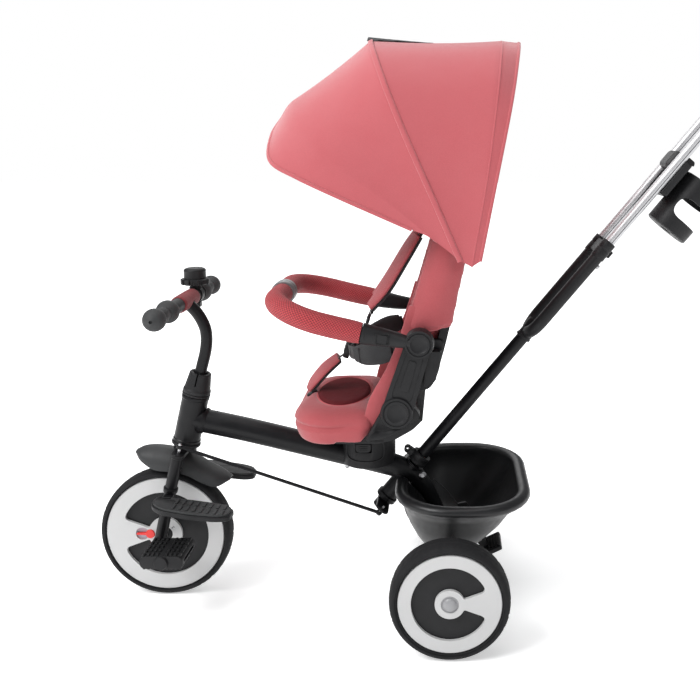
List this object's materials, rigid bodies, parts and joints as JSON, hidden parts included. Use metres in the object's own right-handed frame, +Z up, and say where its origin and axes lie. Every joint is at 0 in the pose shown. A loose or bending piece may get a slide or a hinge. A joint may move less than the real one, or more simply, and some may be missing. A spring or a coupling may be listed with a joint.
{
  "type": "children's push tricycle",
  "caption": "Push-along tricycle with a swivelling padded seat, folding canopy, lap bar, rear bucket and a parent handle that steers the front wheel",
  "frame": {"origin": "on the floor under the middle of the bounding box", "axes": "+Z up, the tricycle rides towards -X and its left side is at +Y"},
  "size_m": [1.218, 0.481, 1.045],
  "materials": {
    "black_metal": "satin black paint",
    "black_plastic": "fine-grained black moulding",
    "grey_plastic": "dark grey moulding",
    "light_disc": "smooth pale grey moulding",
    "tyre_rubber": "matt black foam rubber",
    "grip_rubber": "soft dark grey rubber",
    "coral_fabric": "coral woven polyester",
    "red_foam": "dark red knitted cover over foam",
    "silver": "satin anodised",
    "steel": "zinc plated",
    "red_plastic": "bright red moulding",
    "webbing": "black woven belt"
  },
  "bodies": {
    "frame": {"main_frame": "black_metal", "head_bearing_upper": "black_plastic", "head_bearing_lower": "black_plastic", "rear_axle": "steel", "basket": "black_plastic", "swivel_base": "black_plastic"},
    "swivel_button": {"swivel_button": "black_plastic"},
    "brake": {"brake_pedal": "black_plastic"},
    "fork": {"fork": "black_metal", "front_fender": "grey_plastic", "stem_collar": "black_plastic", "handlebar": "black_metal", "grip_left": "grip_rubber", "grip_right": "grip_rubber", "bar_pad": "coral_fabric", "bell_base": "black_plastic"},
    "bell": {"bell_cap": "black_plastic"},
    "footrest_left": {"footrest_left": "grey_plastic"},
    "footrest_right": {"footrest_right": "grey_plastic"},
    "front_wheel": {"front_tyre": "tyre_rubber", "front_rim": "black_plastic", "front_disc_left": "light_disc", "front_disc_right": "light_disc"},
    "clutch": {"clutch_lever": "red_plastic"},
    "crank": {"crank": "steel"},
    "pedal_left": {"pedal_left": "black_plastic"},
    "pedal_right": {"pedal_right": "black_plastic"},
    "rear_wheel_left": {"rear_tyre_left": "tyre_rubber", "rear_rim_left": "black_plastic", "rear_disc_left": "light_disc", "hub_cap_left": "silver"},
    "rear_wheel_right": {"rear_tyre_right": "tyre_rubber", "rear_rim_right": "black_plastic", "rear_disc_right": "light_disc", "hub_cap_right": "silver"},
    "rod": {"steering_rod": "black_metal"},
    "handle": {"push_tube": "black_metal", "handle_collar": "black_plastic", "handle_sleeve": "black_plastic"},
    "height_lever": {"height_lever": "black_plastic"},
    "loop": {"handle_loop": "silver", "handle_grip": "grip_rubber", "handle_bridge": "grey_plastic", "cup_holder": "black_plastic"},
    "seat": {"seat_shell": "black_plastic", "seat_cushion": "coral_fabric", "crotch_strap": "coral_fabric"},
    "back": {"side_arm_left": "black_plastic", "side_arm_right": "black_plastic", "back_shell": "black_plastic", "backrest_cushion": "coral_fabric", "shoulder_pad_left": "coral_fabric", "shoulder_pad_right": "coral_fabric", "waist_belt": "webbing", "canopy_rear_panel": "coral_fabric"},
    "bar": {"bumper_bar": "black_plastic", "bumper_foam": "red_foam", "bumper_clasp": "silver"},
    "canopy_middle": {"canopy_front_panel": "coral_fabric"},
    "canopy_front": {"canopy_visor": "coral_fabric"}
  },
  "joints": [
    {"name": "steer", "type": "hinge", "parent": "frame", "child": "fork", "pos_m": [-0.484, 0, 0.125], "axis": [0.2368, 0, 0.9715], "range_deg": [-32, 32]},
    {"name": "handle_turn", "type": "hinge", "parent": "frame", "child": "handle", "pos_m": [0.0158, 0, 0.286], "axis": [0.6361, 0, 0.7716], "range_deg": [-34, 34]},
    {"name": "rod_pivot", "type": "hinge", "parent": "fork", "child": "rod", "pos_m": [-0.43912, -0.045, 0.30911], "axis": [0.2365, -0.0499, 0.9703], "range_deg": [-34, 34]},
    {"name": "front_wheel_spin", "type": "hinge", "parent": "fork", "child": "front_wheel", "pos_m": [-0.484, 0, 0.125], "axis": [0, 1, 0], "continuous": true},
    {"name": "crank_spin", "type": "hinge", "parent": "fork", "child": "crank", "pos_m": [-0.484, 0, 0.125], "axis": [0, 1, 0], "continuous": true},
    {"name": "pedal_spin_left", "type": "hinge", "parent": "crank", "child": "pedal_left", "pos_m": [-0.5199, 0.114, 0.11605], "axis": [0, 1, 0], "continuous": true},
    {"name": "pedal_spin_right", "type": "hinge", "parent": "crank", "child": "pedal_right", "pos_m": [-0.4481, -0.114, 0.13395], "axis": [0, 1, 0], "continuous": true},
    {"name": "clutch_flip", "type": "hinge", "parent": "front_wheel", "child": "clutch", "pos_m": [-0.5039, -0.0173, 0.125], "axis": [0, 0, 1], "range_deg": [0, 25]},
    {"name": "rear_wheel_spin_left", "type": "hinge", "parent": "frame", "child": "rear_wheel_left", "pos_m": [0.062, 0.2155, 0.1033], "axis": [0, 1, 0], "continuous": true},
    {"name": "rear_wheel_spin_right", "type": "hinge", "parent": "frame", "child": "rear_wheel_right", "pos_m": [0.062, -0.2155, 0.1033], "axis": [0, 1, 0], "continuous": true},
    {"name": "bell_turn", "type": "hinge", "parent": "fork", "child": "bell", "pos_m": [-0.4295, 0.066, 0.5765], "axis": [0, 0, 1], "range_deg": [-5, 40], "stiffness_Nm_per_rad": 0.03},
    {"name": "footrest_fold_left", "type": "hinge", "parent": "fork", "child": "footrest_left", "pos_m": [-0.45944, 0.0725, 0.21731], "axis": [1, 0, 0], "range_deg": [0, 85]},
    {"name": "footrest_fold_right", "type": "hinge", "parent": "fork", "child": "footrest_right", "pos_m": [-0.45944, -0.0725, 0.21731], "axis": [-1, 0, 0], "range_deg": [0, 85]},
    {"name": "brake_pivot", "type": "hinge", "parent": "frame", "child": "brake", "pos_m": [0.12, 0, 0.111], "axis": [0, 1, 0], "range_deg": [0, 14]},
    {"name": "swivel_button_slide", "type": "slide", "parent": "frame", "child": "swivel_button", "axis": [0, 1, 0], "range_m": [0, 0.004], "stiffness_N_per_m": 120},
    {"name": "seat_swivel", "type": "hinge", "parent": "frame", "child": "seat", "pos_m": [-0.092, 0, 0.343], "axis": [0, 0, 1], "continuous": true},
    {"name": "recline", "type": "hinge", "parent": "seat", "child": "back", "pos_m": [-0.029, 0, 0.4095], "axis": [0, 1, 0], "range_deg": [0, 15]},
    {"name": "bar_swing", "type": "hinge", "parent": "back", "child": "bar", "pos_m": [0.0107, 0, 0.5353], "axis": [0, 1, 0], "range_deg": [0, 40]},
    {"name": "canopy_middle_fold", "type": "hinge", "parent": "back", "child": "canopy_middle", "pos_m": [0.091, 0, 0.6865], "axis": [0, 1, 0], "range_deg": [0, 30], "deforming": ["canopy_rear_panel", "canopy_front_panel"]},
    {"name": "canopy_front_fold", "type": "hinge", "parent": "canopy_middle", "child": "canopy_front", "pos_m": [0.091, 0, 0.6865], "axis": [0, 1, 0], "range_deg": [0, 25], "deforming": ["canopy_visor"]},
    {"name": "handle_slide", "type": "slide", "parent": "handle", "child": "loop", "axis": [0.6361, 0, 0.7716], "range_m": [-0.065, 0.05]},
    {"name": "height_lever_press", "type": "slide", "parent": "handle", "child": "height_lever", "axis": [-0.7716, 0, 0.6361], "range_m": [0, 0.004], "stiffness_N_per_m": 150}
  ],
  "couplings": [
    {"joint": "handle_turn", "follows": "steer", "ratio": 1.03},
    {"joint": "rod_pivot", "follows": "steer", "ratio": -1},
    {"joint": "crank_spin", "follows": "front_wheel_spin", "ratio": 1}
  ]
}
